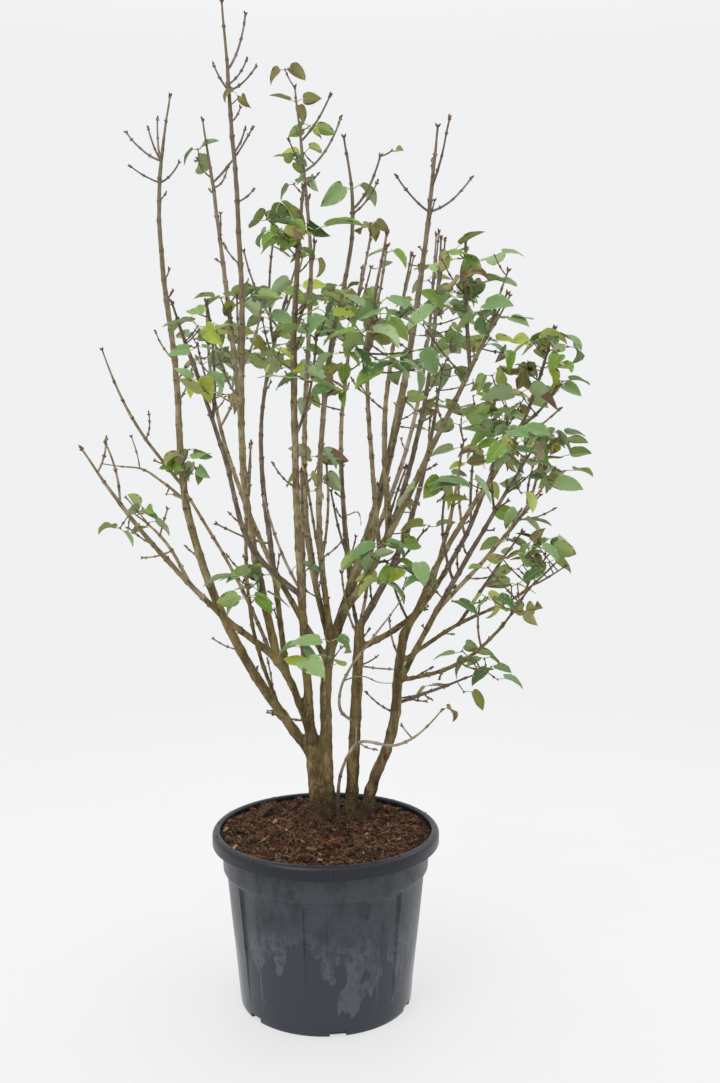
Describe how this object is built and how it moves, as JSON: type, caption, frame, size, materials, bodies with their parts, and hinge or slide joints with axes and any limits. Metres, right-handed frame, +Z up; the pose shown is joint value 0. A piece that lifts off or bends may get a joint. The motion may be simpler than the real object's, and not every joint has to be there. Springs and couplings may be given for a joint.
{
  "type": "potted lilac bush",
  "caption": "Several-stemmed lilac bush in a round plastic nursery pot, standing on the pot's flat base; sparse autumn leaves and bare budded tips.",
  "frame": {"origin": "middle of the pot's flat underside, on the surface that the pot stands on", "axes": "+Z up along the stems, +X to the right and +Y away from someone who looks at the front"},
  "size_m": [1.0743, 0.9215, 2.0803],
  "materials": {
    "pot_plastic": "dark slate grey moulded plastic, partly wet",
    "compost": "moist bark compost with fibres and chips",
    "bark": "olive-brown bark with raised nodes, algae green near the foot",
    "leaves": "heart-shaped green leaves with browned tips"
  },
  "bodies": {
    "root": {"pot": "pot_plastic", "soil": "compost", "left_stem": "bark", "middle_stem": "bark", "inner_right_stem": "bark", "outer_right_stem": "bark", "low_right_shoot": "bark", "far_left_bough": "bark", "far_left_shoot": "bark", "inner_left_twig": "bark", "left_bough": "bark", "low_left_spray": "bark", "tall_bough": "bark", "back_left_bough": "bark", "dark_back_bough": "bark", "front_centre_bough": "bark", "top_centre_bough": "bark", "front_left_bough": "bark", "rear_left_bough": "bark", "right_bough": "bark", "right_bough_fork": "bark", "mid_right_bough": "bark", "dark_right_bough": "bark", "pale_right_bough": "bark", "front_middle_bough": "bark", "back_middle_bough": "bark", "front_inner_bough": "bark", "inner_right_bough": "bark", "upper_right_bough": "bark", "long_right_bough": "bark", "front_right_bough": "bark", "rear_right_bough": "bark", "right_fan_bough": "bark", "low_right_bough": "bark", "mid_low_right_bough": "bark", "right_skirt_bough": "bark", "lowest_right_shoot": "bark", "top_centre_leaves": "leaves", "top_left_leaves": "leaves", "high_centre_leaves": "leaves", "upper_left_leaves": "leaves", "left_leaves": "leaves", "rear_left_leaves": "leaves", "outer_left_leaves": "leaves", "low_left_leaves": "leaves", "centre_front_leaves": "leaves", "centre_back_leaves": "leaves", "back_leaves": "leaves", "inner_front_leaves": "leaves", "right_top_leaves": "leaves", "rear_top_right_leaves": "leaves", "far_right_leaves": "leaves", "rear_right_leaves": "leaves", "outer_right_leaves": "leaves", "front_right_leaves": "leaves", "low_right_leaves": "leaves", "front_skirt_leaves": "leaves", "inner_low_leaves": "leaves", "middle_low_leaves": "leaves", "lowest_right_leaves": "leaves"}
  },
  "joints": []
}
